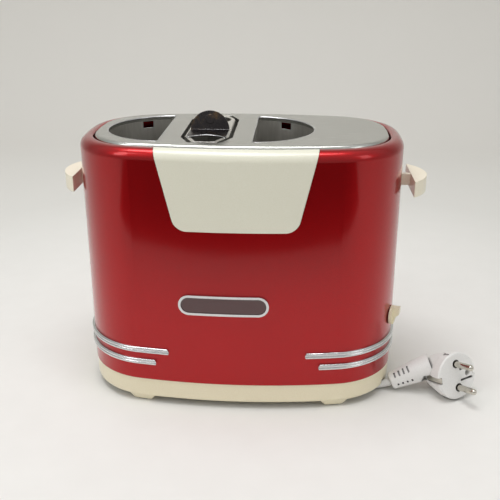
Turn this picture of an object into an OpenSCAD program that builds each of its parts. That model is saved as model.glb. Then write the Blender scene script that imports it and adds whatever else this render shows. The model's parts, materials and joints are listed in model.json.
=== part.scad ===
// Hot dog toaster: an oval sheet-steel shell on a moulded base, two half-round bun slots
// and a lift-out sausage basket on one spring-loaded carriage with a lever at each end.
// Millimetres, +Z up, +X to the right, front face towards -Y, origin on the table
// under the middle of the plan.

/* [Body outline] */
// Length of the shell from end to end
body_length = 240; // [232:1:256]
// Depth of the shell from front to back, to the nearest 0.3
body_depth = 140.7; // [138:0.1:150]
// Radius of the four corner arcs, to the nearest 0.3
corner_bend = 54; // [51:0.1:57]
// Height of the crest of the rim above the table
rim_height = 200; // [190:1:220]

/* [Shell] */
// Sheet thickness of the shell
shell_wall = 1.2; // [0.8:0.1:1.6]
// Height of the shell's lower edge
shell_bottom = 21.3; // [20.5:0.1:24]
// Outer radius of the rolled rim
rim_radius = 7.5; // [5:0.5:9]
// Width of the rolled rim in plan
rim_band = 10; // [9.5:0.1:11]
// Radius of the rim's inner edge
rim_inner_radius = 1.6; // [1.3:0.1:2]
// Depth of the flange inside the rim, below its crest
rim_flange = 8; // [4:0.5:9]

/* [Front panel] */
// Width of the panel's sloping sides at the rim
panel_top_width = 114; // [100:1:118]
// Width where the sloping sides would meet the lower edge
panel_bottom_width = 86.4; // [70:1:96]
// Height of the panel's lower edge
panel_bottom = 142.3; // [125:1:155]
// Radius of the two lower corners
panel_corner = 11; // [4:0.5:16]
// Thickness of the panel
panel_wall = 2; // [1.6:0.1:2.4]
// Joint line between the panel and the shell
panel_gap = 0.25; // [0.15:0.05:0.5]
// Width of the panel's flange behind the shell
panel_flange = 3; // [1.5:0.5:4]

/* [Base] */
// How far the skirt stands in from the shell
base_inset = 0.7; // [0.4:0.1:1.4]
// Wall of the skirt
base_wall = 2.4; // [1.8:0.1:3]
// Height of the skirt's lower edge
base_bottom = 5.7; // [5:0.1:7]
// Radius of the skirt's lower outer edge
base_edge = 1.6; // [1:0.1:1.8]
// Height of the underside of the floor pan
pan_height = 12; // [11.6:0.1:12.6]
// Thickness of the floor pan
pan_wall = 2; // [1.6:0.1:2.2]
// Height of the rib inside the shell, above the shell's lower edge
rib_height = 6; // [4:0.5:8]
// Distance of the feet from the middle, along the length
foot_offset = 73.7; // [66:0.5:80]
// Width of a foot where it leaves the skirt
foot_top = 19.5; // [16:0.5:24]
// Width of a foot at the bottom
foot_tip = 11.5; // [9:0.5:14]
// Depth of a foot from front to back
foot_depth = 14; // [11:0.5:18]
// Thickness of the rubber pad under a foot
pad_wall = 1.2; // [0.8:0.1:2]

/* [Chrome bars] */
// Height of a bar
bar_height = 4.8; // [3.6:0.1:6]
// Height of the upper bar's centre line
upper_bar = 46.2; // [43:0.1:49]
// Height of the lower bar's centre line
lower_bar = 36.5; // [33:0.1:38]
// Distance of the upper bar's ends from the middle
upper_bar_start = 50.8; // [40:0.1:60]
// Distance of the lower bar's ends from the middle
lower_bar_start = 60.9; // [50:0.1:70]

/* [Badge] */
// Position of the badge along the length
badge_x = -9.2; // [-20:0.1:20]
// Height of the badge's centre
badge_z = 86.6; // [75:0.1:110]
// Length of the badge
badge_length = 66; // [50:1:80]
// Height of the badge
badge_height = 15.6; // [12:0.1:20]
// Width of the bezel's frame
bezel_frame = 1.8; // [1.2:0.1:2.4]
// How far the bezel stands out
bezel_proud = 1.6; // [1:0.1:2]
// How far the plate inside the bezel stands out
badge_plate_wall = 0.8; // [0.5:0.1:0.9]

/* [Top plate] */
// Height of the plate's upper face
plate_top = 201.4; // [200.5:0.1:203]
// Thickness of the plate
plate_wall = 1; // [0.8:0.1:1.2]
// Gap between the rim and the plate
plate_gap = 1.1; // [0.6:0.1:1.6]
// Radius of the plate's turned-down edge
plate_edge = 2.6; // [2:0.1:4]
// Depth of the turned-down edge
plate_skirt = 6; // [4:0.1:7]
// Depth of the lips round the openings
lip_depth = 3; // [2:0.1:4]

/* [Slots] */
// Position of the middle of the three openings along the length
slots_x = -23.3; // [-25:0.1:-21]
// Distance from that middle to the straight side of a bun slot
slot_offset = 33.1; // [32:0.1:35]
// Distance from the ends of a bun slot's straight side to the shell's front and rear
slot_margin = 24.34; // [23:0.01:30]
// Distance from the tip of the left bun slot to the shell's end
end_margin = 18.6; // [17:0.1:26]
// Width of the basket opening
well_width = 37.5; // [36:0.1:39]
// Distance from the ends of the basket opening to the shell's front and rear
well_margin = 21.54; // [20:0.01:28]
// Length and width of the chamfers on its corners
well_chamfer = [17, 7]; // [3:0.5:18]
// Sheet thickness of the liners
liner_wall = 0.8; // [0.6:0.1:1]
// Distance from an opening's edge to its liner
liner_gap = 0.8; // [0.5:0.1:1]

/* [Carriage] */
// Travel of the carriage, from up to down
travel = 70; // [50:1:71]
// Height of the top of the lever's stem, with the carriage up
stem_top = 168.4; // [150:0.1:175]
// Height of the stem
stem_height = 8.7; // [6:0.1:10]
// Thickness of the stem, the arms and the beam
arm_wall = 4; // [3:0.1:4.4]
// Height of the beam
beam_height = 8; // [6:0.5:8]
// Clearance of the stem in the shell's slot, on each side
stem_clear = 1.3; // [0.8:0.1:2]
// Thickness of the bun racks and of the basket's seat
rack_wall = 1; // [0.8:0.1:1.6]
// Gap between a rack and its liner
rack_gap = 2; // [1:0.1:3]

/* [Levers] */
// Half the length of a lever's touch piece
lever_half = 26.5; // [18:0.5:28]
// Reach of the left lever beyond the shell
left_reach = 17; // [16:0.1:22]
// Reach of the right lever beyond the shell
right_reach = 19.8; // [16:0.1:22]
// Thickness of the touch piece at its middle, where it bulges
lever_rise = 12; // [9:0.1:13]
// Height of a lever
lever_height = 11.8; // [10:0.1:14]

/* [Basket] */
// Gap between the basket's long sides and its opening
basket_gap = 3; // [2:0.1:4]
// Gap at the two ends
basket_end_gap = 1.5; // [1:0.1:2.4]
// Sheet thickness of the basket
basket_wall = 0.8; // [0.6:0.1:1.2]
// Clearance between the basket and its seat
basket_clear = 0.3; // [0.2:0.05:0.6]
// Width of the rim turned in round the basket's mouth
basket_rim = 2.2; // [1.5:0.1:4]
// Distance of the handle's fold from the basket's front end
handle_fold = 39.3; // [34:0.1:42]
// Depth of the scoop in the handle's front edge
handle_scoop = 20.1; // [16:0.1:24]
// Radius of the handle's half-round grip
handle_radius = 14.5; // [12:0.1:14.8]
// Backward lean of the grip
handle_lean = 9; // [0:1:20]
// Radius of the rear sausage hole
hole_radius = 13.4; // [10:0.1:13.6]
// Distance of that hole's centre from the middle
hole_y = 28; // [26:0.1:30]

/* [Knob] */
// Angle of the knob's axis to the length, seen from above
knob_angle = 21; // [10:1:35]
// Height of the knob's axis
knob_z = 64.3; // [62:0.1:80]
// Radius of the knob
knob_radius = 7.4; // [6.6:0.1:10]
// Thickness of the knob's disc
knob_wall = 2; // [1.6:0.1:4]
// Reach of the knob's grip from the shell
knob_reach = 7.2; // [6:0.1:12]
// Radius of the knob's shaft
shaft_radius = 3; // [2:0.1:3.4]

/* [Crumb tray] */
// Left end of the tray
tray_left = -88; // [-92:1:-60]
// Right end of the tray
tray_right = 42; // [20:1:50]
// Distance of the tray's front wall from the shell's front
tray_inset = 20.34; // [19:0.01:40]
// Wall of the tray
tray_wall = 1; // [0.8:0.1:1.4]
// Clearance round the tray
tray_clear = 0.3; // [0.2:0.05:0.6]

/* [Cord] */
// Diameter of the mains lead
cord_d = 6; // [5:0.1:6.2]

/* [Hidden] */
$fa = 4;
$fs = 0.6;
eps = 0.01;

// ---- the oval outline: eight tangent arcs ----
// The lines through neighbouring centres run 24 : 143 and 364 : 27. Their lengths are 145
// and 365, whole numbers too, so that the arcs meet without any rounding.
half_l = body_length / 2;
corner_y0 = (body_depth / 2 - corner_bend - (half_l - corner_bend) / 12) * 324 / 323;
corner_x0 = half_l - corner_bend - corner_y0 / 27;
front_step = round(100 * corner_x0 / 24) / 100;
end_step = round(100 * corner_y0 / 27) / 100;
corner_c = [24 * front_step, 27 * end_step];
corner_radius = half_l - corner_c.x - end_step;
front_c = [0, corner_c.y - 143 * front_step];
front_radius = corner_radius + 145 * front_step;
end_c = [corner_c.x - 364 * end_step, 0];
end_radius = corner_radius + 365 * end_step;
half_d = front_c.y + front_radius;

// ---- derived sizes ----
pan_top = pan_height + pan_wall;
plate_under = plate_top - plate_wall;
left_slot_x = slots_x - slot_offset;
right_slot_x = slots_x + slot_offset;
slot_half = half_d - slot_margin;
slot_width = half_l - end_margin + left_slot_x;
slot_r = (slot_half ^ 2 + slot_width ^ 2) / (2 * slot_width);
well_half = half_d - well_margin;
floor_z = 30;
floor_wall = 1;
floor_top = floor_z + floor_wall;
beam_z = floor_top + 3 + travel;
beam_top = beam_z + beam_height;
rack_top = beam_top + rack_wall;
basket_z = rack_top + basket_clear;
basket_top = plate_top;
basket_half = well_half - basket_end_gap;
basket_width = well_width - 2 * basket_gap;
fold_y = -basket_half + handle_fold;
left_plate_x = -half_l + 10.5;
right_plate_x = right_slot_x + slot_width + 11.3;
end_plate_wall = 1;
arm_x = half_l - 6.5;
upright_wall = 2;
lever_reach = [left_reach, right_reach];
arm_slot = arm_wall / 2 + 0.3;
liner_slot = arm_wall / 2 + 1;
knob_at = [corner_c.x, -corner_c.y, 0] + corner_radius * [cos(knob_angle), -sin(knob_angle), 0]
    + [0, 0, knob_z];
rod_x = right_plate_x + 12;
rod_radius = 2.5;
bush_radius = 6;
spring_x = rod_x + 11;
keeper_x = rod_x + 20;
bracket_z = rim_height - 15;
bracket_wall = 1.5;
bracket_half = 12;
timer_size = [20, 22, 22];
timer_depth = 7;
tray_z = pan_top + tray_clear;
tray_top = shell_bottom - tray_clear;
tray_front = tray_inset - half_d;
heater_x = [left_slot_x - slot_width - 5.2, left_slot_x + 7.4, right_slot_x - 7.4,
    right_slot_x + slot_width + 5.2];
board_x = right_plate_x + 4;
board_y = 24;
board_wall = 1;
board_half = [slot_half - 15, slot_half - 6, slot_half - 6, slot_half - 6];
board_top = rim_height - 18;
wire_pitch = 14;
well_x = slots_x;
circuit_board = [36, 1.6, 86];
magnet_size = [14, 12];
keeper_size = [10, 10, 4];
screw_radius = 1.7;
screw_head = [3.4, 2.2];

// ---- the mains lead: a racetrack coil in the base, then out through the notch ----
cord_z = 4.9;
coil_x = -8;
coil_y = 6.6;
coil_straight = 45;
coil_outer = 40.3;
coil_pitch = cord_d + 0.6;
coil_rings = 24;
coil_turns = 2.5;
coil_last = coil_rings * coil_turns - 1;
COIL = [for (i = [-1:coil_last]) coil_point(i)];
gland_length = 14;
gland_x = coil_x - coil_straight + 16;
coil_end = coil_point(coil_last);
coil_inner = coil_end.y - coil_y;
core_radius = coil_inner - cord_d / 2 - 0.3;
LEAD = [
    [37, -33.98, 4.9], [52, -33.9, 4.7], [67, -33.8, 4.4], [82, -33.7, 4.1],
    [94, -33.6, 3.8], [103, -33.5, 3.6], [109, -33.4, 3.9], [113.6, -33.35, 4.8],
    [117.2, -33.3, 5.9], [120, -33.3, 7], [122.6, -33.3, 8.3],
];
notch_y = -33.4;
relief_from = [120, -33.3, 7];
relief_to = [139.5, -33, 16.8];
relief_seat = 2.9;
relief_r = [6.8, 9.2];
plug_face = [169, -43.9, 19.7];
plug_turn = -59;
plug_tilt = 15.5;
plug_roll = 2.6;
plug_radius = 18.4;
plug_length = 30;
pin_gap = 19;
pin_radius = 2.4;
pin_length = 18.4;
pin_seat = 6;
clip_seat = 3.4;
PLUG = [
    [plug_radius - 1, 0], [plug_radius, -1], [plug_radius - 0.2, -7],
    [plug_radius - 0.8, -9.5], [plug_radius - 1.5, -12], [plug_radius - 2.4, -15.5],
    [plug_radius - 3.5, -19.5], [plug_radius - 5, -23.5], [plug_radius - 6.8, -27],
    [plug_radius - 8.6, -29.2], [plug_radius - 10.6, -plug_length],
];

// ---- functions ----
// Ring i of the coil: half the rings of a turn go round each end of the racetrack
function coil_point(i) =
    let (
        j = (i + coil_rings) % coil_rings,
        half = coil_rings / 2,
        end = j < half ? -1 : 1,
        a = (j < half ? 270 : 90) - (j % half) * 180 / (half - 1),
        r = coil_outer - coil_pitch * i / coil_rings
    )
    [coil_x + end * coil_straight + r * cos(a), coil_y + r * sin(a), cord_z];

function unit(v) = v / norm(v);

// Direction of a path at its point i
function heading(path, i) =
    unit(path[min(i + 1, len(path) - 1)] - path[max(i - 1, 0)]);

// Half-width of the oval at a distance x from the middle, drawn in by an inset
function oval_y(x, inset = 0) =
    abs(x) < corner_c.x + corner_radius * 24 / 145
    ? front_c.y + sqrt((front_radius - inset) ^ 2 - x ^ 2)
    : corner_c.y + sqrt(max(0, (corner_radius - inset) ^ 2 - (abs(x) - corner_c.x) ^ 2));

// ---- the outline and sweeps along it ----
// The sector of the rear right corner arc
module corner_sector()
    polygon([
        corner_c, corner_c + 4 * (corner_c - end_c),
        corner_c + 4 * (corner_c - end_c) + [0, 400],
        corner_c + (corner_c - front_c),
    ]);

// A section swept round one arc and cut to the arc's sector. In the section x = 0 is the
// shell's outer face, +x is outwards and y is the height.
module arc_sweep(centre, radius)
    intersection() {
        translate([centre.x, centre.y, 0])
            rotate_extrude($fa = 2)
                translate([radius, 0]) children(0);
        linear_extrude(rim_height + 10) children(1);
    }

module sweep_corners(sides = [0, 1])
    for (sx = sides, sy = [0, 1])
        mirror([sx, 0, 0]) mirror([0, sy, 0])
            arc_sweep(corner_c, corner_radius) {
                children();
                corner_sector();
            }

module sweep_ends(sides = [0, 1])
    for (sx = sides)
        mirror([sx, 0, 0])
            arc_sweep(end_c, end_radius) {
                children();
                far = end_c + 6 * (corner_c - end_c);
                polygon([end_c, far, [far.x, -far.y]]);
            }

module sweep_long(sides = [0, 1])
    for (sy = sides)
        mirror([0, sy, 0])
            arc_sweep(front_c, front_radius) {
                children();
                polygon([
                    front_c, 2 * corner_c - front_c,
                    [-2 * corner_c.x, 2 * corner_c.y - front_c.y],
                ]);
            }

// All round
module sweep() {
    sweep_corners() children();
    sweep_ends() children();
    sweep_long() children();
}

// Round one end, with the whole front and rear
module sweep_end(side) {
    sweep_corners([side]) children();
    sweep_ends([side]) children();
    sweep_long() children();
}

// Along the front only
module sweep_front() sweep_long([1]) children();

// The filled oval, drawn in by an inset
module oval(inset = 0)
    difference() {
        intersection_for (s = [-1, 1]) {
            intersection() {
                translate(s * front_c) circle(front_radius - inset);
                translate(s * end_c) circle(end_radius - inset);
            }
        }
        for (sx = [0, 1], sy = [0, 1])
            mirror([sx, 0]) mirror([0, sy])
                difference() {
                    corner_sector();
                    translate(corner_c) circle(corner_radius - inset);
                }
    }

// A quarter of a ring in the first quadrant, turned by a
module bend(r, wall, a = 0)
    rotate(a)
        intersection() {
            difference() {
                circle(r);
                if (r > wall) circle(r - wall);
            }
            square(r + 1);
        }

// The shell's section: wall, rolled rim and inner flange, for a sheet of a given wall
module rim_section(wall, bottom) {
    crest = rim_height - rim_radius;
    translate([-wall, bottom]) square([wall, crest - bottom]);
    translate([-rim_radius, crest]) bend(rim_radius, wall);
    translate([-rim_band + rim_inner_radius, rim_height - wall])
        square([rim_band - rim_inner_radius - rim_radius, wall]);
    translate([-rim_band + rim_inner_radius, rim_height - rim_inner_radius])
        bend(rim_inner_radius, wall, 90);
    translate([-rim_band, rim_height - rim_flange])
        square([wall, rim_flange - rim_inner_radius]);
}

// The panel's outline on the front, seen from -Y, drawn in by an inset
module panel_outline(inset = 0) {
    top = rim_height + 5;
    lean = (panel_top_width - panel_bottom_width) / 2 / (rim_height - panel_bottom);
    side = inset * sqrt(1 + lean ^ 2);
    low = panel_bottom + inset;
    foot = panel_bottom_width / 2 + lean * inset - side;
    r = panel_corner - inset;
    a = 90 - atan(lean);
    cx = foot - r * tan(a / 2);
    difference() {
        polygon([
            [-foot, low], [foot, low],
            [foot + lean * (top - low), top], [-foot - lean * (top - low), top],
        ]);
        for (s = [0, 1])
            mirror([s, 0])
                difference() {
                    polygon([
                        [cx, low - 1], [foot + 3, low - 1],
                        [foot + 3, low + r * tan(a / 2) * sin(a)],
                        [cx + r * sin(a), low + r * (1 - cos(a))],
                        [cx, low + r],
                    ]);
                    translate([cx, low + r]) circle(r + 0.03);
                }
    }
}

// Turns an outline in X and Z into a block through the front or the whole depth
module through_y(from, to)
    translate([0, to, 0])
        rotate([90, 0, 0])
            linear_extrude(to - from)
                children();

// The same for an outline in Y and Z, through from left to right
module through_x(from, to)
    translate([from, 0, 0])
        rotate([90, 0, 90])
            linear_extrude(to - from)
                children();

// An upright window with round ends, standing on its lower end
module slot_2d(width, height)
    translate([0, height / 2]) rotate(90) stadium(height, width);

// A long shape with round ends
module stadium(length, height) {
    r = height / 2;
    square([length - height, height], center = true);
    for (s = [-1, 1])
        translate([s * (length / 2 - r), 0]) circle(r);
}

// A bun slot: straight side on x = 0, curve towards +x, grown by a margin
module half_round(grow = 0)
    intersection() {
        translate([slot_width - slot_r, 0]) circle(slot_r + grow);
        translate([-grow, -slot_half - 5]) square([slot_width + 10, 2 * slot_half + 10]);
    }

// The basket opening with its chamfered corners, grown by a margin at the sides and by
// another at the ends
module well_outline(grow = 0, ends = undef) {
    x = well_width / 2 + grow;
    y = well_half + (is_undef(ends) ? grow : ends);
    polygon([
        for (q = [[1, 1], [1, -1], [-1, -1], [-1, 1]])
            each let (
                a = [q.x * x, q.y * (y - well_chamfer.x)],
                b = [q.x * (x - well_chamfer.y), q.y * y]
            ) q.x * q.y > 0 ? [b, a] : [a, b]
    ]);
}

// The basket's outline, which stands off its opening, grown by a margin
module basket_outline(grow = 0) well_outline(grow - basket_gap, grow - basket_end_gap);

// Places a bun slot's shape: the left one is mirrored
module at_slot(left)
    translate([left ? left_slot_x : right_slot_x, 0, 0])
        mirror([left ? 1 : 0, 0, 0])
            children();

// A round tube along a path, as one closed solid
module tube(path, r, sides) {
    n = len(path);
    points = [
        for (i = [0:n - 1])
            let (t = heading(path, i), s = unit(cross(t, [0, 0, 1])), w = cross(s, t))
            for (k = [0:sides - 1])
                path[i] + r * (cos(360 * k / sides) * s + sin(360 * k / sides) * w)
    ];
    walls = [
        for (i = [0:n - 2], k = [0:sides - 1])
            let (a = i * sides + k, b = i * sides + (k + 1) % sides)
            each [[a, b, b + sides], [a, b + sides, a + sides]]
    ];
    caps = [
        [for (k = [sides - 1:-1:0]) k],
        [for (k = [0:sides - 1]) (n - 1) * sides + k],
    ];
    polyhedron(points, concat(walls, caps));
}

// Turns +z to a direction
module along(d)
    rotate([0, acos(d.z / norm(d)), atan2(d.y, d.x)])
        children();

// Stands children on the knob's axis, with +z pointing out of the shell
module on_knob_axis()
    translate(knob_at)
        rotate([0, 0, -knob_angle])
            rotate([0, 90, 0])
                children();

// Stands children on the plug's axis, with +z pointing out of its face, +x down across
// the pins and +y to the right
module on_plug_axis()
    translate(plug_face)
        rotate([0, 90 - plug_tilt, plug_turn])
            rotate(plug_roll)
                children();

// Places children under the four feet, square to the skirt
module at_feet() {
    inset = (foot_depth + base_inset + 1) / 2;
    for (sx = [0, 1], sy = [0, 1])
        mirror([sx, 0, 0]) mirror([0, sy, 0])
            translate([foot_offset, -oval_y(foot_offset, inset), 0])
                rotate(asin(foot_offset / front_radius))
                    children();
}

// ---- housing: base ----
module skirt_section() {
    inner = -base_inset - base_wall;
    translate([inner, base_bottom + base_edge])
        square([base_wall, shell_bottom - base_bottom - base_edge]);
    translate([inner, base_bottom]) square([base_wall - base_edge, base_edge]);
    translate([-base_inset - base_edge, base_bottom + base_edge])
        bend(base_edge, base_edge + 1, -90);
    // the rib that locates the shell from inside
    translate([-shell_wall - 1.8, shell_bottom - 3]) square([1.6, rib_height + 3]);
}

// A foot follows the skirt: its front face leans in and it narrows towards the table
module feet() {
    front = -base_inset - 0.6;
    intersection() {
        sweep()
            polygon([
                [front, pan_height], [front, base_bottom], [front - 2.4, pad_wall],
                [-foot_depth + 2, pad_wall], [-foot_depth, base_bottom],
                [-foot_depth, pan_height],
            ]);
        through_y(-half_d - 5, half_d + 5)
            for (side = [0, 1])
                mirror([side, 0])
                    translate([foot_offset, 0])
                        polygon([
                            [-foot_tip / 2, 0], [foot_tip / 2, 0],
                            [foot_top / 2, base_bottom], [foot_top / 2, pan_height],
                            [-foot_top / 2, pan_height], [-foot_top / 2, base_bottom],
                        ]);
    }
}

SCREWS = [[-101, -32], [-101, 32], [70, -40], [70, 40]];

module base() {
    color("cornsilk")
        difference() {
            union() {
                sweep() skirt_section();
                translate([0, 0, pan_height])
                    linear_extrude(pan_wall)
                        oval(base_inset + base_wall / 2);
                feet();
            }
            // the crumb tray's way out at the rear
            translate([tray_left - tray_clear, 0, pan_top])
                cube([tray_right - tray_left + 2 * tray_clear, half_d + 5,
                    shell_bottom + rib_height + 1 - pan_top]);
            // the notch for the mains lead
            translate([half_l - 25, notch_y - cord_d / 2 - 0.6, 0])
                cube([40, cord_d + 1.2, cord_z + cord_d / 2 + 2]);
            // vents under the slots
            for (x = [-76:12:32])
                translate([x, 0, pan_height + pan_wall / 2])
                    cube([4, 22, pan_wall + 2], center = true);
            for (p = SCREWS)
                translate([p.x, p.y, 0]) cylinder(r = screw_radius + 0.1, h = 20);
        }
}

module foot_pads() {
    color("dimgray")
        at_feet()
            linear_extrude(pad_wall)
                stadium(foot_tip - 1.5, 6);
}

module base_screws() {
    color("gray")
        for (p = SCREWS)
            translate([p.x, p.y, pan_height]) {
                translate([0, 0, -screw_head.y]) cylinder(r = screw_head.x, h = screw_head.y);
                cylinder(r = screw_radius, h = pan_wall + 2);
            }
}

module cord_wrap() {
    color("cornsilk")
        translate([coil_x, coil_y, 0]) {
            translate([0, 0, 0.8])
                linear_extrude(0.9)
                    difference() {
                        stadium(2 * (coil_straight + coil_outer + 2), 2 * coil_outer + 4);
                        stadium(2 * (coil_straight + core_radius - 2), 2 * core_radius - 4);
                    }
            translate([0, 0, 0.8])
                linear_extrude(pan_height - 0.8)
                    difference() {
                        stadium(2 * (coil_straight + core_radius), 2 * core_radius);
                        stadium(2 * (coil_straight + core_radius - 2), 2 * core_radius - 4);
                    }
        }
}

// ---- housing: shell, panel and trim ----
module shell() {
    color("firebrick")
        difference() {
            sweep() rim_section(shell_wall, shell_bottom);
            through_y(-half_d - 5, -half_d + rim_band + 10)
                panel_outline();
            // the lever slots at both ends
            low = stem_top - stem_height - travel - 1;
            for (s = [-1, 1])
                translate([s * half_l, 0, low + (stem_top + 1 - low) / 2])
                    cube([12, arm_wall + 2 * stem_clear, stem_top + 1 - low], center = true);
            on_knob_axis()
                translate([0, 0, -10]) cylinder(r = shaft_radius + 0.6, h = 20);
        }
}

module front_panel() {
    color("ivory") {
        intersection() {
            sweep_front() rim_section(panel_wall, panel_bottom - 5);
            through_y(-half_d - 5, -half_d + rim_band + 10)
                panel_outline(panel_gap);
        }
        // the flange that holds it behind the shell
        intersection() {
            sweep_front()
                translate([-panel_wall - 0.2, panel_bottom - 5])
                    square([panel_wall + 0.2 - shell_wall, rim_height - rim_radius - 3 - panel_bottom + 5]);
            through_y(-half_d - 5, 0)
                panel_outline(-panel_flange);
        }
    }
}

// A ribbon with two rounded ridges, swept round one end of the shell
module bar(left, z, start) {
    r = bar_height / 4 + 0.15;
    out = 0.5;
    color("silver")
        intersection() {
            sweep_end(left ? 1 : 0)
                translate([0, z])
                    intersection() {
                        union() {
                            translate([0, -bar_height / 2]) square([out, bar_height]);
                            for (s = [-1, 1])
                                translate([out, s * (bar_height / 2 - r)]) circle(r);
                        }
                        translate([0, -bar_height]) square(2 * bar_height);
                    }
            through_y(-half_d - 5, half_d + 5)
                translate([(left ? -1 : 1) * (start + half_l) / 2 + (left ? -30 : 30), z])
                    stadium(half_l - start + 60, bar_height + 0.8);
        }
}

module badge_bezel() {
    color("silver")
        intersection() {
            sweep_front()
                translate([0, badge_z - badge_height]) square([bezel_proud, 2 * badge_height]);
            through_y(-half_d - 5, 0)
                translate([badge_x, badge_z])
                    difference() {
                        stadium(badge_length, badge_height);
                        stadium(badge_length - 2 * bezel_frame, badge_height - 2 * bezel_frame);
                    }
        }
}

module badge_plate() {
    color("maroon")
        intersection() {
            sweep_front()
                translate([0, badge_z - badge_height])
                    square([badge_plate_wall, 2 * badge_height]);
            through_y(-half_d - 5, 0)
                translate([badge_x, badge_z])
                    stadium(badge_length - 2 * bezel_frame, badge_height - 2 * bezel_frame);
        }
}

// ---- housing: top plate and liners ----
module plate_section() {
    edge = -rim_band - plate_gap;
    translate([edge - plate_edge, plate_top - plate_edge])
        bend(plate_edge, plate_wall);
    translate([edge - plate_wall, plate_top - plate_skirt])
        square([plate_wall, plate_skirt - plate_edge]);
    translate([edge - plate_edge - 3, plate_under]) square([3, plate_wall]);
}

module top_plate() {
    color("lightgray")
        difference() {
            union() {
                sweep() plate_section();
                translate([0, 0, plate_under])
                    linear_extrude(plate_wall)
                        oval(rim_band + plate_gap + plate_edge + 1.5);
                // the lips round the openings
                translate([0, 0, plate_top - lip_depth])
                    linear_extrude(lip_depth - eps) {
                        for (left = [true, false]) at_slot(left) half_round(liner_gap - eps);
                        translate([well_x, 0]) well_outline(liner_gap - eps);
                    }
            }
            translate([0, 0, plate_top - lip_depth - 1])
                linear_extrude(lip_depth + 3) {
                    for (left = [true, false]) at_slot(left) half_round();
                    translate([well_x, 0]) well_outline();
                }
        }
}

// The cut that lets the beam pass through a liner as the carriage travels
module beam_way(x, wall) {
    low = beam_z - travel - 1;
    translate([x - wall / 2, -liner_slot, low])
        cube([wall, 2 * liner_slot, beam_top + 1 - low]);
}

module bun_liner(left) {
    color("gray")
        difference() {
            translate([0, 0, floor_top])
                linear_extrude(plate_under - floor_top)
                    at_slot(left)
                        difference() {
                            half_round(liner_gap + liner_wall);
                            half_round(liner_gap);
                        }
            at_slot(left) {
                beam_way(0, 12);
                beam_way(slot_width, 12);
                // the small window under the lip at the rear
                translate([19, 20, plate_top - 9]) cube([7.5, 40, 5.2]);
            }
        }
}

module basket_well() {
    color("gray")
        difference() {
            translate([well_x, 0, floor_top])
                linear_extrude(plate_under - floor_top)
                    difference() {
                        well_outline(liner_gap + liner_wall);
                        well_outline(liner_gap);
                    }
            beam_way(well_x, well_width + 12);
        }
}

// ---- housing: chassis and heaters ----
module chassis_floor() {
    color("silver")
        translate([0, 0, floor_z])
            linear_extrude(floor_wall)
                difference() {
                    intersection() {
                        oval(shell_wall + 2);
                        translate([left_plate_x + end_plate_wall, -half_d])
                            square([right_plate_x - left_plate_x - end_plate_wall, body_depth]);
                    }
                    for (left = [true, false]) at_slot(left) half_round();
                    translate([well_x, 0]) well_outline();
                }
}

module end_plate(x, half, top) {
    translate([x, -half, pan_top])
        cube([end_plate_wall, 2 * half, top - pan_top]);
}

module left_end_plate() {
    half = oval_y(left_plate_x, shell_wall + 3.5);
    color("silver")
        difference() {
            end_plate(left_plate_x, half, board_top - 6);
            translate([left_plate_x - 1, -arm_slot, beam_z - travel - 1])
                cube([3, 2 * arm_slot, beam_top + 1 - (beam_z - travel - 1)]);
        }
}

module right_end_plate() {
    half = oval_y(right_plate_x, shell_wall + 3.5);
    color("silver")
        difference() {
            union() {
                end_plate(right_plate_x, half, bracket_z + bracket_wall);
                // the shelf that holds the rod and the spring at the top
                translate([right_plate_x, -bracket_half, bracket_z])
                    cube([spring_x + 9 - right_plate_x, 2 * bracket_half, bracket_wall]);
            }
            translate([right_plate_x - 1, -arm_slot, beam_z - travel - 1])
                cube([3, 2 * arm_slot, beam_top + 1 - (beam_z - travel - 1)]);
        }
}

module heater(k) {
    color("wheat")
        difference() {
            translate([heater_x[k] - board_wall / 2, -board_half[k], floor_top])
                cube([board_wall, 2 * board_half[k], board_top - floor_top]);
            beam_way(heater_x[k], 3);
        }
}

module heater_wires() {
    color("tan")
        for (k = [0:3], s = [-1, 1])
            for (z = [floor_top + 10:wire_pitch:board_top - 8])
                for (side = z < beam_top + 4 ? [-1, 1] : [0]) {
                    inner = side == 0 ? -board_half[k] + 4 : liner_slot + 3;
                    length = board_half[k] - 4 - inner;
                    translate([
                        heater_x[k] + s * (board_wall / 2 + 0.25) - 0.25,
                        side < 0 ? -inner - length : inner, z,
                    ])
                        cube([0.5, length, 1.4]);
                }
}

// ---- housing: latch, timer and board ----
module guide_rod() {
    color("silver")
        translate([rod_x, 0, pan_top])
            cylinder(r = rod_radius, h = bracket_z - pan_top);
}

module lift_spring() {
    low = beam_top;
    curls = 12;
    rings = 8;
    r = 3.6;
    first = low + 0.62;
    last = bracket_z - 0.62;
    helix = [
        for (i = [0:curls * rings])
            [spring_x + r * cos(360 * i / rings), r * sin(360 * i / rings),
                first + (last - first) * i / (curls * rings)]
    ];
    ends = [[spring_x + r, -1.5, first], [spring_x + r, 1.5, last]];
    color("silver") tube(concat([ends[0]], helix, [ends[1]]), 0.6, 6);
}

module latch_magnet() {
    size = magnet_size;
    top = beam_z - keeper_size.z - travel - 0.3;
    color("saddlebrown") {
        translate([keeper_x - size.x / 2, -size.y / 2, pan_top]) {
            cube([size.x, size.y, 2]);
            translate([0, 0, top - pan_top - 2]) cube([size.x, size.y, 2]);
        }
        translate([keeper_x, 0, pan_top])
            cylinder(r = size.y / 2, h = top - pan_top);
    }
}

module timer() {
    color("darkslategray")
        on_knob_axis()
            difference() {
                translate([-timer_size.z / 2, -timer_size.y / 2, -timer_depth - timer_size.x])
                    cube([timer_size.z, timer_size.y, timer_size.x]);
                translate([0, 0, -timer_depth - 10])
                    cylinder(r = shaft_radius + 0.05, h = 11);
            }
}

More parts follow.
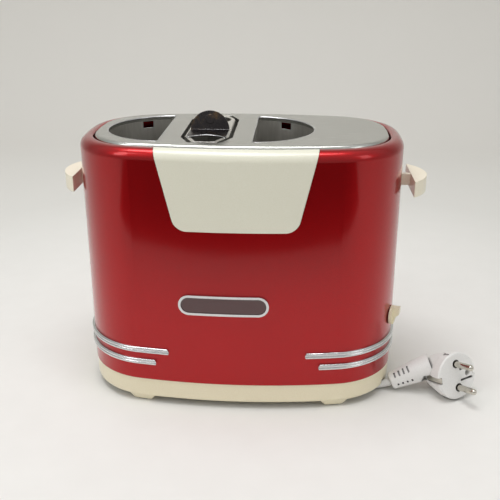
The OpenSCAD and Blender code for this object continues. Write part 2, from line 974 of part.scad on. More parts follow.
module timer_bracket() {
    half = timer_size.y / 2 + 2;
    color("silver")
        on_knob_axis()
            translate([0, -half, -timer_depth - timer_size.x - bracket_wall]) {
                translate([-timer_size.z / 2 - 2, 0, 0])
                    cube([timer_size.z + 4, 2 * half, bracket_wall]);
                // the leg, kept clear of the latch
                cube([knob_z - pan_top, half + 2, bracket_wall]);
            }
}

module control_board() {
    color("darkgreen")
        translate([board_x, board_y, pan_top])
            cube(circuit_board);
}

module board_parts() {
    color("dimgray")
        translate([board_x, board_y, pan_top]) {
            translate([4, -10, 50]) cube([16, 10, 19]);
            translate([27, 0, 60]) rotate([90, 0, 0]) cylinder(r = 4.5, h = 9);
            translate([8, 0, 22]) rotate([90, 0, 0]) cylinder(r = 3, h = 8);
            translate([18, -4, 12]) cube([9, 4, 14]);
        }
}

// ---- carriage ----
module carriage_beam() {
    t = arm_wall;
    color("silver") {
        translate([0, 0, beam_z])
            difference() {
                union() {
                    translate([-arm_x, -t / 2, 0]) cube([2 * arm_x, t, beam_height]);
                    translate([rod_x, 0, 0]) cylinder(r = bush_radius + 1.5, h = beam_height);
                }
                translate([rod_x, 0, -1]) cylinder(r = bush_radius, h = beam_height + 2);
            }
        // the upright arms that carry the levers
        for (s = [-1, 1])
            translate([s * (arm_x - upright_wall / 2) - upright_wall / 2, -t / 2, beam_top - eps])
                cube([upright_wall, t, stem_top - beam_top + eps]);
    }
}

module slider_bush() {
    color("black")
        translate([rod_x, 0, beam_z - 6])
            difference() {
                cylinder(r = bush_radius, h = beam_height + 12);
                translate([0, 0, -1]) cylinder(r = rod_radius + 0.05, h = beam_height + 14);
            }
}

module latch_keeper() {
    color("gray")
        translate([keeper_x - keeper_size.x / 2, -keeper_size.y / 2, beam_z - keeper_size.z])
            cube(keeper_size);
}

module bun_rack(left) {
    color("silver")
        translate([0, 0, beam_top])
            linear_extrude(rack_wall)
                difference() {
                    at_slot(left) half_round(-rack_gap);
                    for (y = [-33:11:33], x = [8, 22])
                        translate([(left ? left_slot_x - x - 5 : right_slot_x + x + 5), y])
                            stadium(10, 5);
                }
}

module basket_seat() {
    color("silver")
        translate([well_x - 13, -basket_half + 5, beam_top])
            cube([26, 2 * basket_half - 10, rack_wall]);
}

// The piece that a finger presses, in plan, for the right-hand end: a flat inner face and
// an outer face that bulges
module touch_piece(reach) {
    top = half_l + reach;
    tip = top - lever_rise;
    outer_r = (lever_half ^ 2 + lever_rise ^ 2) / (2 * lever_rise);
    intersection() {
        translate([top - outer_r, 0]) circle(outer_r, $fa = 2);
        translate([tip, -lever_half + 0.6]) square([lever_rise + 1, 2 * lever_half - 1.2]);
    }
}

// The touch piece and the stem that runs through the shell's slot to the upright arm
module lever(left) {
    reach = lever_reach[left ? 0 : 1];
    color("cornsilk")
        mirror([left ? 1 : 0, 0, 0]) {
            translate([0, 0, stem_top + 0.6 - lever_height])
                linear_extrude(lever_height)
                    touch_piece(reach);
            translate([arm_x, -arm_wall / 2, stem_top - stem_height])
                cube([half_l + reach - lever_rise + 3 - arm_x, arm_wall, stem_height]);
        }
}

// ---- basket ----
module basket_body() {
    w = basket_width;
    h = basket_half;
    color("silver")
        translate([well_x, 0, basket_z])
            difference() {
                linear_extrude(basket_top - basket_z) basket_outline();
                translate([0, 0, basket_wall])
                    linear_extrude(basket_top - basket_z - 2 * basket_wall)
                        basket_outline(-basket_wall);
                // the mouth, inside a rim turned inwards
                translate([0, 0, basket_top - basket_z - basket_wall - 1])
                    linear_extrude(basket_wall + 2) basket_outline(-basket_rim);
                // upright windows in the long walls, in two rows
                for (y = [-22.5:9:22.5], z = [6, 42])
                    translate([0, y, z])
                        through_x(-w, w) slot_2d(5, 30);
                // and in the end walls
                for (x = [-4, 4], z = [6, 42])
                    translate([x, 0, z])
                        through_y(-h - 2, h + 2) slot_2d(4, 30);
                // drain slots in the floor
                for (y = [-28:8:28])
                    translate([0, y, -1]) linear_extrude(4) stadium(w - 14, 4);
            }
}

module basket_handle() {
    t = basket_wall;
    w = 2 * handle_radius;
    scoop_r = (handle_radius ^ 2 + handle_scoop ^ 2) / (2 * handle_scoop);
    ring_z = 0.565 * handle_radius;
    color("darkslategray")
        translate([well_x, 0, basket_top]) {
            // the flat flange with its scooped front edge, over the front sausage hole
            linear_extrude(t)
                difference() {
                    intersection() {
                        translate([-w / 2, -basket_half - 1]) square([w, handle_fold + 1]);
                        basket_outline(-0.4);
                    }
                    translate([0, -basket_half + handle_scoop - scoop_r]) circle(scoop_r);
                }
            // the half-round grip, leaning back, with a pressed ring
            translate([0, fold_y, 0])
                rotate([90 - handle_lean, 0, 0]) {
                    difference() {
                        union() {
                            linear_extrude(t)
                                intersection() {
                                    circle(handle_radius);
                                    translate([-w / 2, 0]) square([w, w]);
                                }
                            translate([0, ring_z, 0]) cylinder(r = 3.4, h = t + 0.7);
                        }
                        translate([0, ring_z, -1]) cylinder(r = 2.4, h = t + 0.9);
                    }
                }
        }
}

// The plate behind the handle, with the rear sausage hole
module basket_top_plate() {
    color("silver")
        translate([well_x, 0, basket_top])
            linear_extrude(basket_wall)
                difference() {
                    intersection() {
                        translate([-basket_width, fold_y + 0.3])
                            square([2 * basket_width, 2 * basket_half]);
                        basket_outline(-0.4);
                    }
                    translate([0, hole_y]) circle(hole_radius);
                }
}

// ---- knob ----
module knob() {
    color("cornsilk")
        on_knob_axis()
            difference() {
                union() {
                    translate([0, 0, 0.4]) cylinder(r = knob_radius, h = knob_wall);
                    // the pointer grip, highest towards the rim at the top
                    translate([0, 2.4, 0])
                        rotate([90, 0, 0])
                            linear_extrude(4.8)
                                polygon([
                                    [-knob_radius + 0.4, knob_wall],
                                    [-knob_radius + 0.4, knob_reach],
                                    [-1.6, knob_reach], [0.8, knob_wall + 2.6],
                                    [knob_radius - 0.4, knob_wall + 1.2],
                                    [knob_radius - 0.4, knob_wall],
                                ]);
                }
                translate([0, 0, -1]) cylinder(r = shaft_radius, h = 3);
            }
}

module knob_shaft() {
    color("gray")
        on_knob_axis()
            translate([0, 0, -timer_depth - 9])
                cylinder(r = shaft_radius, h = timer_depth + 11);
}

// ---- crumb tray ----
module crumb_tray() {
    color("silver")
        difference() {
            translate([0, 0, tray_z])
                linear_extrude(tray_top - tray_z)
                    intersection() {
                        oval(base_inset);
                        translate([tray_left, tray_front])
                            square([tray_right - tray_left, 200]);
                    }
            translate([0, 0, tray_z + tray_wall])
                linear_extrude(20)
                    intersection() {
                        oval(base_inset + base_wall + 4);
                        translate([tray_left + tray_wall, tray_front + tray_wall])
                            square([tray_right - tray_left - 2 * tray_wall, 200]);
                    }
            // the finger scoop under the rear edge
            translate([(tray_left + tray_right) / 2 - 20, half_d - 1, tray_z - 0.6])
                rotate([0, 90, 0]) cylinder(r = 3.6, h = 40);
        }
}

// ---- mains lead and plug ----
module cord_gland() {
    w = coil_pitch - 0.4;
    color("black")
        translate([gland_x, coil_end.y - w / 2, cord_z - w / 2])
            cube([gland_length, w, pan_height - cord_z + w / 2]);
}

module cord_coil() {
    gap = min([
        for (i = [0:len(COIL) - 1])
            for (j = [i + 12:1:len(COIL) - 1])
                norm(COIL[i] - COIL[j])
    ]) - cord_d;
    echo(least_gap = gap);
    color("white")
        tube(concat(COIL, [[gland_x, coil_end.y, cord_z]]), cord_d / 2, 6);
}

module cord_lead() {
    color("white")
        tube(LEAD, cord_d / 2, 8);
}

module plug_relief() {
    length = norm(relief_to - relief_from);
    color("white")
        translate(relief_from)
            along(relief_to - relief_from)
                difference() {
                    rotate_extrude()
                        polygon([
                            [0, relief_seat], [4.4, relief_seat], [4.4, 0.8], [5, 0], [6, 0],
                            [relief_r[0], 0.8], [relief_r[1], length], [0, length],
                        ]);
                    // slots and small holes that let it bend
                    for (i = [0:3], q = [[213, 4.4], [147, 4.4], [33, 4.4], [279, 1.7], [90, 1.7]])
                        let (z = 4.4 + 3.8 * i)
                            rotate(q[0])
                                translate([
                                    relief_r[0] + (relief_r[1] - relief_r[0]) * z / length - 1.5,
                                    -q[1] / 2 - i * q[1] / 22, z,
                                ])
                                    cube([4, q[1] + i * q[1] / 11, 1.3]);
                }
}

module plug_body() {
    color("white")
        difference() {
            union() {
                on_plug_axis()
                    rotate_extrude() polygon(concat([[0, 0]], PLUG, [[0, -plug_length]]));
                // the branch that the relief grows out of
                translate(relief_to)
                    along(relief_to - relief_from)
                        cylinder(r1 = relief_r[1], r2 = relief_r[1] + 0.5, h = 12);
            }
            on_plug_axis() {
                // grooves of the two earth clips
                for (s = [0, 1])
                    mirror([0, s, 0])
                        translate([-2.7, plug_radius - clip_seat, -21]) cube([5.4, 6, 23]);
                // pin seats, each in a shallow ring
                for (s = [-1, 1])
                    translate([s * pin_gap / 2, 0, 0]) {
                        translate([0, 0, -pin_seat]) cylinder(r = pin_radius, h = 10);
                        translate([0, 0, -1.6]) cylinder(r = pin_radius + 0.9, h = 4);
                    }
                // the socket for an earth pin, between two slots
                translate([0.3, 10, -14]) cylinder(r = 2.3, h = 20);
                for (s = [-1, 1])
                    translate([s * 4.4 - 0.85, 2.7, -5]) cube([1.7, 11.6, 8]);
                // the keying notch in the collar
                rotate(195.5)
                    translate([plug_radius - 1.2, -1.3, -7]) cube([4, 2.6, 5.5]);
            }
        }
}

module plug_pins() {
    r = pin_radius;
    color("silver")
        on_plug_axis()
            for (s = [-1, 1])
                translate([s * pin_gap / 2, 0, 0])
                    rotate_extrude()
                        polygon([
                            [0, -pin_seat], [r, -pin_seat],
                            for (a = [0:15:75]) [r * cos(a), pin_length - r + r * sin(a)],
                            [0, pin_length],
                        ]);
}

module plug_earth_clips() {
    color("silver")
        on_plug_axis()
            for (s = [0, 1])
                mirror([0, s, 0])
                    translate([-2.2, plug_radius - clip_seat, -17]) cube([4.4, 0.8, 16.6]);
}

base();
foot_pads();
shell();
front_panel();
top_plate();
bun_liner(true);  // left_bun_liner
bun_liner(false);  // right_bun_liner
basket_well();
chassis_floor();
left_end_plate();
right_end_plate();
heater(0);  // left_outer_heater
heater(1);  // left_inner_heater
heater(2);  // right_inner_heater
heater(3);  // right_outer_heater
heater_wires();
guide_rod();
lift_spring();
latch_magnet();
timer();
timer_bracket();
control_board();
board_parts();
bar(true, upper_bar, upper_bar_start);  // left_upper_bar
bar(true, lower_bar, lower_bar_start);  // left_lower_bar
bar(false, upper_bar, upper_bar_start);  // right_upper_bar
bar(false, lower_bar, lower_bar_start);  // right_lower_bar
badge_bezel();
badge_plate();
cord_wrap();
base_screws();
cord_gland();
cord_coil();
cord_lead();
plug_relief();
plug_body();
plug_pins();
plug_earth_clips();
carriage_beam();
slider_bush();
latch_keeper();
bun_rack(true);  // left_bun_rack
bun_rack(false);  // right_bun_rack
basket_seat();
lever(true);  // left_lever
lever(false);  // right_lever
basket_body();
basket_handle();
basket_top_plate();
knob();
knob_shaft();
crumb_tray();
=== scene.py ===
import json
import math

import bmesh
import bpy
from mathutils import Matrix, Vector


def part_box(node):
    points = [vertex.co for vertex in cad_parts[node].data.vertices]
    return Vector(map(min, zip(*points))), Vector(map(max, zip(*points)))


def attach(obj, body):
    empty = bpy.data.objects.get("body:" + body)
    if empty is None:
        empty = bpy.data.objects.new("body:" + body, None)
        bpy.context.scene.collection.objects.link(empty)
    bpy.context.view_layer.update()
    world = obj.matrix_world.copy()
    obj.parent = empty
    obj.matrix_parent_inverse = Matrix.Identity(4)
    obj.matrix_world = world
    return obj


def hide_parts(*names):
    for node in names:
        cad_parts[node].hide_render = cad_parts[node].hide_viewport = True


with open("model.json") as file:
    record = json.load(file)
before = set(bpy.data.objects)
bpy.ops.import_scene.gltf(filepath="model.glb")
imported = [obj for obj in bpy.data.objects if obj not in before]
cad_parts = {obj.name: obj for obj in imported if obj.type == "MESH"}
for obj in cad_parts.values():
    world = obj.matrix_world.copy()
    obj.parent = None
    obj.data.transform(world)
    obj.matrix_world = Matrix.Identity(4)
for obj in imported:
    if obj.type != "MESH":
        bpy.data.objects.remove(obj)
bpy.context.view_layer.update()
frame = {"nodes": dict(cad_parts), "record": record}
nodes = frame["nodes"]
scene = bpy.context.scene
MM = 0.001

# ---------------------------------------------------------------- camera
CAM_AT = Vector((0.04071, -0.56555, 0.32188))
CAM_RIGHT = Vector((0.998126, 0.061183, -0.000983))
CAM_UP = Vector((-0.021112, 0.359401, 0.932944))
CAM_FORWARD = Vector((-0.057433, 0.931175, -0.360019))

cam_data = bpy.data.cameras.new("camera")
cam_data.lens = 54.72
cam_data.sensor_width = 36
cam_data.clip_start = 0.01
cam = bpy.data.objects.new("camera", cam_data)
scene.collection.objects.link(cam)
turn = Matrix((CAM_RIGHT, CAM_UP, -CAM_FORWARD)).transposed().to_4x4()
cam.matrix_world = Matrix.Translation(CAM_AT) @ turn
scene.camera = cam
scene.view_settings.view_transform = "Standard"

# ---------------------------------------------------------------- mains lead
# The route, in mm, is that of cord_coil and cord_lead in part.scad.
COIL_C = (-8.0, 6.6)
COIL_STRAIGHT = 45.0
COIL_OUTER = 40.3
CORD_D = 6.0
TURN_GAP = 0.6
PITCH = CORD_D + TURN_GAP
RINGS = 24
TURNS = 2.5
CORD_Z = 4.9
LAST = int(RINGS * TURNS) - 1
GLAND_INSET = 16
GLAND_X = COIL_C[0] - COIL_STRAIGHT + GLAND_INSET
PATH_STEP = 3.0
LEAD = [
    (52, -33.9, 4.7), (67, -33.8, 4.4), (82, -33.7, 4.1), (94, -33.6, 3.8), (103, -33.5, 3.6),
    (109, -33.4, 3.9), (113.6, -33.35, 4.8), (117.2, -33.3, 5.9), (120, -33.3, 7), (122.6, -33.3, 8.3),
]


def coil_point(i):
    """Point i of the wound lead, from outside: RINGS points a turn, half of them round each end."""
    j = (i + RINGS) % RINGS
    half = RINGS / 2
    end = -1 if j < half else 1
    a = math.radians((270 if j < half else 90) - (j % half) * 180 / (half - 1))
    r = COIL_OUTER - PITCH * i / RINGS
    return (COIL_C[0] + end * COIL_STRAIGHT + r * math.cos(a), COIL_C[1] + r * math.sin(a), CORD_Z)


def smooth_path(points, step):
    """A smooth curve through the points, resampled at about step.

    Its tangents have Catmull-Rom's directions and the chord's length, so long straights stay straight.
    """
    p = [Vector(v) for v in points]
    p = [2 * p[0] - p[1]] + p + [2 * p[-1] - p[-2]]
    out = []
    for i in range(1, len(p) - 2):
        d = (p[i + 1] - p[i]).length
        n = max(1, int(round(d / step)))
        t0 = (p[i + 1] - p[i - 1]).normalized() * d
        t1 = (p[i + 2] - p[i]).normalized() * d
        for k in range(n):
            t = k / n
            h = (2 * t**3 - 3 * t**2 + 1, t**3 - 2 * t**2 + t, -2 * t**3 + 3 * t**2, t**3 - t**2)
            out.append(h[0] * p[i] + h[1] * t0 + h[2] * p[i + 1] + h[3] * t1)
    out.append(p[-2])
    return out


def round_curve(name, points, radius, resolution):
    """A curve of round section through points (metres).

    The radius sits on the points, because Blender adds it to the curve's box.
    """
    curve = bpy.data.curves.new(name, "CURVE")
    curve.dimensions = "3D"
    curve.bevel_depth = 1
    curve.bevel_resolution = resolution
    spline = curve.splines.new("POLY")
    spline.points.add(len(points) - 1)
    for pt, v in zip(spline.points, points):
        pt.co = (*v, 1)
        pt.radius = radius
    obj = bpy.data.objects.new(name, curve)
    scene.collection.objects.link(obj)
    return obj, spline


gland = (GLAND_X, coil_point(LAST)[1], CORD_Z)
coil = [gland] + [coil_point(i) for i in range(LAST, -2, -1)]
path = smooth_path(coil + LEAD, PATH_STEP)
cord, cord_spline = round_curve("mains_lead", [v * MM for v in path], CORD_D / 2 * MM, resolution=5)
cord.data.use_fill_caps = True
cord_spline.use_smooth = True
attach(cord, "housing")
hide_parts("cord_coil", "cord_lead")


# ---------------------------------------------------------------- shader helpers
def material(name):
    m = bpy.data.materials.new(name)
    m.use_nodes = True
    nt = m.node_tree
    return m, nt, nt.nodes["Principled BSDF"]


def srgb(text):
    """A colour written as #rrggbb, as the linear numbers that a shader takes."""
    text = text.lstrip("#")
    v = [int(text[i:i + 2], 16) / 255 for i in (0, 2, 4)]
    return [c / 12.92 if c <= 0.04045 else ((c + 0.055) / 1.055) ** 2.4 for c in v] + [1.0]


def coords(nt, scale=(1, 1, 1), turned=0):
    """Object coordinates, scaled, then turned about z by so many degrees."""
    tc = nt.nodes.new("ShaderNodeTexCoord")
    mp = nt.nodes.new("ShaderNodeMapping")
    mp.inputs["Rotation"].default_value = (0, 0, math.radians(turned))
    mp.inputs["Scale"].default_value = scale
    nt.links.new(tc.outputs["Object"], mp.inputs["Vector"])
    return mp.outputs["Vector"]


def noise(nt, vec, scale, detail=3.0, rough=0.5):
    n = nt.nodes.new("ShaderNodeTexNoise")
    n.inputs["Scale"].default_value = scale
    n.inputs["Detail"].default_value = detail
    n.inputs["Roughness"].default_value = rough
    nt.links.new(vec, n.inputs["Vector"])
    return n.outputs["Fac"]


def ramp(nt, fac, stops):
    r = nt.nodes.new("ShaderNodeValToRGB")
    els = r.color_ramp.elements
    while len(els) < len(stops):
        els.new(0.5)
    for e, (pos, col) in zip(els, stops):
        e.position = pos
        e.color = col
    nt.links.new(fac, r.inputs["Fac"])
    return r.outputs["Color"]


def remap(nt, fac, to_min, to_max, from_min=0.3, from_max=0.7):
    m = nt.nodes.new("ShaderNodeMapRange")
    m.inputs["From Min"].default_value = from_min
    m.inputs["From Max"].default_value = from_max
    m.inputs["To Min"].default_value = to_min
    m.inputs["To Max"].default_value = to_max
    nt.links.new(fac, m.inputs["Value"])
    return m.outputs["Result"]


def mix(nt, fac, a, b):
    m = nt.nodes.new("ShaderNodeMix")
    m.data_type = "RGBA"
    nt.links.new(fac, m.inputs["Factor"])
    for socket, value in ((m.inputs["A"], a), (m.inputs["B"], b)):
        if isinstance(value, list):
            socket.default_value = value
        else:
            nt.links.new(value, socket)
    return m.outputs["Result"]


def math_node(nt, operation):
    n = nt.nodes.new("ShaderNodeMath")
    n.operation = operation
    return n


def soft_edge(nt, mm):
    e = nt.nodes.new("ShaderNodeBevel")
    e.samples = 6
    e.inputs["Radius"].default_value = mm * MM
    return e.outputs["Normal"]


def bump(nt, bsdf, fac, strength, distance, edge=0.0):
    """Bump from a pattern, over edges that are softened by edge (mm)."""
    b = nt.nodes.new("ShaderNodeBump")
    b.inputs["Strength"].default_value = strength
    b.inputs["Distance"].default_value = distance
    nt.links.new(fac, b.inputs["Height"])
    if edge:
        nt.links.new(soft_edge(nt, edge), b.inputs["Normal"])
    nt.links.new(b.outputs["Normal"], bsdf.inputs["Normal"])


def painted_crevice_shade(nt, colour, shade, reach):
    """Painted shade in holes and grooves narrower than reach (mm), from ambient occlusion."""
    ao = nt.nodes.new("ShaderNodeAmbientOcclusion")
    ao.samples = 8
    ao.inputs["Distance"].default_value = reach * MM
    return mix(nt, remap(nt, ao.outputs["AO"], 1, 0, 0.15, 0.75), colour, srgb(shade))


def scratches(nt, scale, stretch, turned, low):
    """Fine straight scratches where the noise is above low: 1 on a scratch, 0 between."""
    fade = 0.08
    n = noise(nt, coords(nt, stretch, turned), scale, detail=2, rough=0.4)
    return remap(nt, n, 0, 1, low, low + fade)


# ---------------------------------------------------------------- materials
def mat_red():
    """Metallic paint with fine flakes under a clear coat."""
    m, nt, b = material("red_shell")
    v = coords(nt)
    flake = noise(nt, v, scale=3200, detail=2, rough=0.6)
    cloud = noise(nt, v, scale=18, detail=3, rough=0.5)
    base = ramp(nt, flake, [(0.35, srgb("#a30309")), (0.65, srgb("#bd0710"))])
    deep = ramp(nt, flake, [(0.35, srgb("#980208")), (0.65, srgb("#b2060e"))])
    nt.links.new(mix(nt, cloud, base, deep), b.inputs["Base Color"])
    b.inputs["Metallic"].default_value = 0.9
    nt.links.new(remap(nt, noise(nt, v, scale=900, detail=2), 0.30, 0.37), b.inputs["Roughness"])
    b.inputs["Specular IOR Level"].default_value = 0.3
    b.inputs["Coat Weight"].default_value = 1.0
    b.inputs["Coat Roughness"].default_value = 0.11
    b.inputs["Coat IOR"].default_value = 1.42
    bump(nt, b, noise(nt, v, scale=420, detail=2), strength=0.012, distance=0.0004, edge=0.35)
    return m


def mat_plastic(name, light, dark, rough, scale=1400, coat=0.0, edge=0.35, shade=None):
    """Moulded plastic: a fine mottle from dark to light, with painted shade in its holes and grooves."""
    m, nt, b = material(name)
    v = coords(nt)
    colour = ramp(nt, noise(nt, v, scale, detail=3), [(0.3, srgb(dark)), (0.7, srgb(light))])
    # Painted shade: holes and grooves darken towards the colour shade.
    if shade:
        colour = painted_crevice_shade(nt, colour, shade, reach=3.0)
    nt.links.new(colour, b.inputs["Base Color"])
    gloss = remap(nt, noise(nt, v, scale=260, detail=4), rough - 0.02, rough + 0.03, 0.1, 0.9)
    nt.links.new(gloss, b.inputs["Roughness"])
    b.inputs["IOR"].default_value = 1.5
    b.inputs["Coat Weight"].default_value = coat
    b.inputs["Coat Roughness"].default_value = 0.12
    bump(nt, b, noise(nt, v, scale * 2, detail=2), strength=0.05, distance=0.0002, edge=edge)
    return m


def mat_metal(name, light, dark, rough, stretch=(1, 1, 1), scale=300, spread=0.05, relief=0.04,
              aniso=0.0, edge=0.4, marks=False, stain=None, depth_shade=None):
    """Sheet metal or wire, its grain drawn out by stretch.

    marks adds scratches, stain a second tone in patches, and depth_shade=(z from, z to, colour) a
    painted shade, a darker tone low down that fades out as z rises.
    """
    m, nt, b = material(name)
    grain = noise(nt, coords(nt, stretch), scale, detail=5, rough=0.6)
    colour = ramp(nt, grain, [(0.3, srgb(dark)), (0.7, srgb(light))])
    if stain:
        patches = noise(nt, coords(nt), scale=55, detail=5, rough=0.7)
        colour = mix(nt, remap(nt, patches, 0.0, 0.5, from_min=0.62, from_max=0.80), colour, srgb(stain))
    # Painted shade: darker low down, fading out as z rises.
    if depth_shade:
        z_from, z_to, tone = depth_shade
        sep = nt.nodes.new("ShaderNodeSeparateXYZ")
        nt.links.new(coords(nt), sep.inputs[0])
        colour = mix(nt, remap(nt, sep.outputs["Z"], 0.85, 0, z_from, z_to), colour, srgb(tone))
    nt.links.new(colour, b.inputs["Base Color"])
    b.inputs["Metallic"].default_value = 1.0
    nt.links.new(remap(nt, grain, rough - spread, rough + spread), b.inputs["Roughness"])
    b.inputs["Anisotropic"].default_value = aniso
    height = grain
    if marks:
        both = math_node(nt, "ADD")
        nt.links.new(scratches(nt, scale=60, stretch=(0.6, 22, 1), turned=14, low=0.70), both.inputs[0])
        nt.links.new(scratches(nt, scale=45, stretch=(0.5, 26, 1), turned=-38, low=0.71), both.inputs[1])
        cut = math_node(nt, "MULTIPLY_ADD")
        cut.inputs[1].default_value = -1.2
        nt.links.new(both.outputs[0], cut.inputs[0])
        nt.links.new(grain, cut.inputs[2])
        height = cut.outputs[0]
    bump(nt, b, height, strength=relief, distance=0.0002, edge=edge)
    return m


def mat_dark_steel():
    """Steel browned by heat in patches."""
    m, nt, b = material("dark_steel")
    v = coords(nt)
    tones = [(0.30, "#39373a"), (0.5, "#474344"), (0.62, "#725e49"), (0.75, "#444041")]
    patches = noise(nt, v, scale=90, detail=6, rough=0.65)
    colour = ramp(nt, patches, [(pos, srgb(tone)) for pos, tone in tones])
    nt.links.new(colour, b.inputs["Base Color"])
    b.inputs["Metallic"].default_value = 0.95
    fine = noise(nt, v, scale=700, detail=4, rough=0.6)
    nt.links.new(remap(nt, fine, 0.22, 0.36), b.inputs["Roughness"])
    bump(nt, b, fine, strength=0.05, distance=0.0002, edge=0.5)
    return m


MATS = {
    "red_shell": mat_red(),
    "cream": mat_plastic("cream", "#efe6ca", "#ebe0c2", 0.30, coat=0.3),
    "plate_steel": mat_metal("plate_steel", "#d2d3cf", "#cacbc7", 0.25, stretch=(1, 24, 24), scale=40,
                             spread=0.03, relief=0.015, aniso=0.2, marks=True, stain="#a39a8b"),
    "chrome_trim": mat_metal("chrome_trim", "#dedfe0", "#d6d7d9", 0.22, scale=200, spread=0.02,
                             relief=0.0, edge=0.0),
    # The slot liners get painted shade, darker deep down in the slots.
    "liner_steel": mat_metal("liner_steel", "#efede8", "#e0ded9", 0.36, stretch=(8, 8, 1), scale=60,
                             spread=0.04, relief=0.02, stain="#8f8373", depth_shade=(0.125, 0.185, "#6d655b")),
    "dark_steel": mat_dark_steel(),
    "enamel": mat_plastic("enamel", "#4a1418", "#3a1013", 0.16, coat=1.0),
    # The plug and lead get painted shade in their holes and grooves.
    "white_cord": mat_plastic("white_cord", "#ebeae8", "#e5e4e2", 0.38, scale=900, edge=0.3,
                              shade="#4a4844"),
    "pad_rubber": mat_plastic("pad_rubber", "#8f8c86", "#7d7a75", 0.7, scale=900),
    "black_plastic": mat_plastic("black_plastic", "#1f2022", "#141516", 0.5, scale=600),
    "board_green": mat_plastic("board_green", "#2f6b3e", "#285c35", 0.4, scale=500),
    "mica": mat_plastic("mica", "#cfc29c", "#b9a97c", 0.55, scale=250),
    "heater_alloy": mat_metal("heater_alloy", "#9c866c", "#7e6a54", 0.4, scale=400, spread=0.06),
    "nickel": mat_metal("nickel", "#d8d4cb", "#c6c1b6", 0.14, spread=0.03, relief=0.02),
}
# nodes whose tone differs from that of their slot
OWN = {
    "front_panel": mat_plastic("panel_ivory", "#e8e6d6", "#e4e2d0", 0.30, coat=0.4),
    "left_lever": mat_plastic("lever_ivory", "#f6efdb", "#f2ead4", 0.34, coat=0.2, edge=0.8),
}
OWN["right_lever"] = OWN["left_lever"]
slot_of = {s["node"]: s["material_slot"] for s in frame["record"]["subparts"]}
for name, obj in nodes.items():
    obj.data.materials.clear()
    obj.data.materials.append(OWN.get(name) or MATS[slot_of[name]])
cord.data.materials.append(MATS["white_cord"])

# ---------------------------------------------------------------- rolled lips round the openings
WELD = 1e-6
LEVEL = 0.15 * MM
FOLD = math.radians(50)
FEWEST_POINTS = 8
PLATE_INSIDE = (0.102, 0.056)


def top_loops(node, top, inside):
    """Closed outlines in a node's level top face, where it turns down: lists of points in metres."""
    bm = bmesh.new()
    bm.from_mesh(nodes[node].data)
    bmesh.ops.remove_doubles(bm, verts=bm.verts, dist=WELD)
    links = {}
    for e in bm.edges:
        if len(e.link_faces) != 2 or e.calc_face_angle(0) < FOLD:
            continue
        if all(abs(v.co.z - top) < LEVEL and inside(v.co) for v in e.verts):
            for a, b in (e.verts, reversed(e.verts)):
                links.setdefault(a.index, []).append(b.index)
    places = {v.index: v.co.copy() for v in bm.verts}
    bm.free()
    loops = []
    left = {k for k, near in links.items() if len(near) == 2}
    while left:
        start = at = min(left)
        loop = []
        while at in left:
            left.discard(at)
            loop.append(places[at])
            ahead = [n for n in links[at] if n in left]
            if not ahead:
                break
            at = ahead[0]
        if len(loop) > FEWEST_POINTS and start in links[at]:
            loops.append(loop)
    return loops


def rolled_lip(name, loop, wire, drop, body, slot, grow):
    """A polished rolled edge, wire mm thick, along a closed outline, drop mm below it."""
    centre = sum(loop, Vector()) / len(loop)
    points = []
    for v in loop:
        out = (v - centre).normalized() * grow * MM
        points.append((v.x + out.x, v.y + out.y, v.z - drop * MM))
    obj, spline = round_curve(name, points, wire / 2 * MM, resolution=3)
    spline.use_cyclic_u = True
    obj.data.materials.append(MATS[slot])
    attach(obj, body)


def anywhere(point):
    return True


def inside_plate(point):
    return abs(point.x) < PLATE_INSIDE[0] and abs(point.y) < PLATE_INSIDE[1]


plate_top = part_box("top_plate")[1][2]
for k, loop in enumerate(top_loops("top_plate", plate_top, inside_plate)):
    rolled_lip("plate_lip_%d" % (k + 1), loop, wire=1.7, drop=0.65, body="housing",
               slot="chrome_trim", grow=-0.1)

flange_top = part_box("basket_top_plate")[1][2]
for k, loop in enumerate(top_loops("basket_handle", flange_top, anywhere)):
    rolled_lip("flange_lip_%d" % (k + 1), loop, wire=0.9, drop=0.35, body="basket",
               slot="chrome_trim", grow=-0.3)
for k, loop in enumerate(top_loops("basket_top_plate", flange_top, anywhere)):
    rolled_lip("basket_plate_lip_%d" % (k + 1), loop, wire=0.8, drop=0.35, body="basket",
               slot="liner_steel", grow=-0.3)

# ---------------------------------------------------------------- floor that turns up into a wall
FLOOR_HALF = 5
FLOOR_FRONT = -5.0
COVE_Y = 0.75
COVE_R = 0.35
COVE_STEPS = 12
WALL_TOP = 2.6

profile = [(FLOOR_FRONT, 0.0), (COVE_Y, 0.0)]
for k in range(1, COVE_STEPS + 1):
    a = math.radians(90 * k / COVE_STEPS)
    profile.append((COVE_Y + COVE_R * math.sin(a), COVE_R - COVE_R * math.cos(a)))
profile.append((COVE_Y + COVE_R, WALL_TOP))
floor_mesh = bpy.data.meshes.new("floor")
bm = bmesh.new()
rows = [[bm.verts.new((x, y, z)) for x in (-FLOOR_HALF, FLOOR_HALF)] for y, z in profile]
for a, b in zip(rows, rows[1:]):
    bm.faces.new((a[0], a[1], b[1], b[0]))
bm.to_mesh(floor_mesh)
bm.free()
for f in floor_mesh.polygons:
    f.use_smooth = True
floor = bpy.data.objects.new("floor", floor_mesh)
scene.collection.objects.link(floor)

# painted pool of light: the floor is paler near the object and greyer further off, the wall too; with a
# faint grain
floor_mat, nt, bsdf = material("floor_white")
tc = nt.nodes.new("ShaderNodeTexCoord")
away = nt.nodes.new("ShaderNodeVectorMath")
away.operation = "LENGTH"
nt.links.new(tc.outputs["Object"], away.inputs[0])
tone = ramp(nt, remap(nt, away.outputs["Value"], 0, 1, 0.28, 0.95),
            [(0.0, srgb("#eae9e6")), (0.35, srgb("#dcdbd7")), (1.0, srgb("#dad8d3"))])
grain = remap(nt, noise(nt, coords(nt), scale=35, detail=4), 0, 0.12)
nt.links.new(mix(nt, grain, tone, srgb("#d8d6d2")), bsdf.inputs["Base Color"])
bsdf.inputs["Roughness"].default_value = 0.8
bsdf.inputs["Specular IOR Level"].default_value = 0.0
floor_mesh.materials.append(floor_mat)

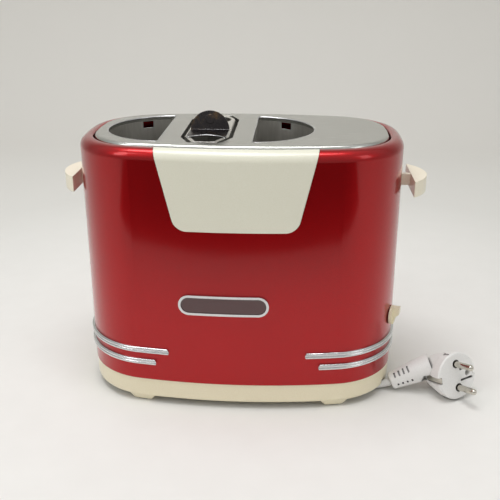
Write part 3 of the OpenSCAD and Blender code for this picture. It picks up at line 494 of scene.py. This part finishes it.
# ---------------------------------------------------------------- light
SKY = [(0.0, (0.42, 0.42, 0.41, 1)), (0.30, (0.44, 0.44, 0.43, 1)),
       (0.75, (0.56, 0.56, 0.55, 1)), (1.0, (0.66, 0.66, 0.65, 1))]

world = bpy.data.worlds.new("studio")
scene.world = world
world.use_nodes = True
nt = world.node_tree
background = nt.nodes["Background"]
tc = nt.nodes.new("ShaderNodeTexCoord")
sep = nt.nodes.new("ShaderNodeSeparateXYZ")
nt.links.new(tc.outputs["Generated"], sep.inputs[0])
nt.links.new(ramp(nt, sep.outputs["Z"], SKY), background.inputs["Color"])
background.inputs["Strength"].default_value = 1.0


def area(name, at, target, size, power):
    """A rectangular lamp at a point, facing target."""
    d = bpy.data.lights.new(name, "AREA")
    d.shape = "RECTANGLE"
    d.size, d.size_y = size
    d.energy = power
    o = bpy.data.objects.new(name, d)
    scene.collection.objects.link(o)
    o.location = at
    o.rotation_euler = (Vector(target) - Vector(at)).to_track_quat("-Z", "Y").to_euler()


area("top", at=(-0.15, -0.15, 1.5), target=(0, 0, 0), size=(1.0, 0.7), power=11.5)
area("front_left", at=(-1.2, -1.0, 1.25), target=(0, 0, 0.1), size=(0.45, 1.0), power=4.6)
area("front_right", at=(1.4, -0.9, 1.0), target=(0, 0, 0.1), size=(0.5, 0.9), power=2.2)

# A dark card on the floor in front of the object. Reflections alone see it: it darkens the shell's gloss.
CARD_Z = 0.004
CARD = [(-0.9, -1.4, CARD_Z), (0.9, -1.4, CARD_Z), (0.46, -0.40, CARD_Z), (-0.44, -0.36, CARD_Z)]
card_mesh = bpy.data.meshes.new("dark_card")
card_mesh.from_pydata(CARD, [], [(0, 1, 2, 3)])
card = bpy.data.objects.new("dark_card", card_mesh)
scene.collection.objects.link(card)
card_mat, _, bsdf = material("card_black")
bsdf.inputs["Base Color"].default_value = srgb("#202022")
bsdf.inputs["Roughness"].default_value = 0.9
card_mesh.materials.append(card_mat)
card.visible_camera = False
card.visible_diffuse = False
card.visible_shadow = False
card.visible_transmission = False

bpy.context.view_layer.update()
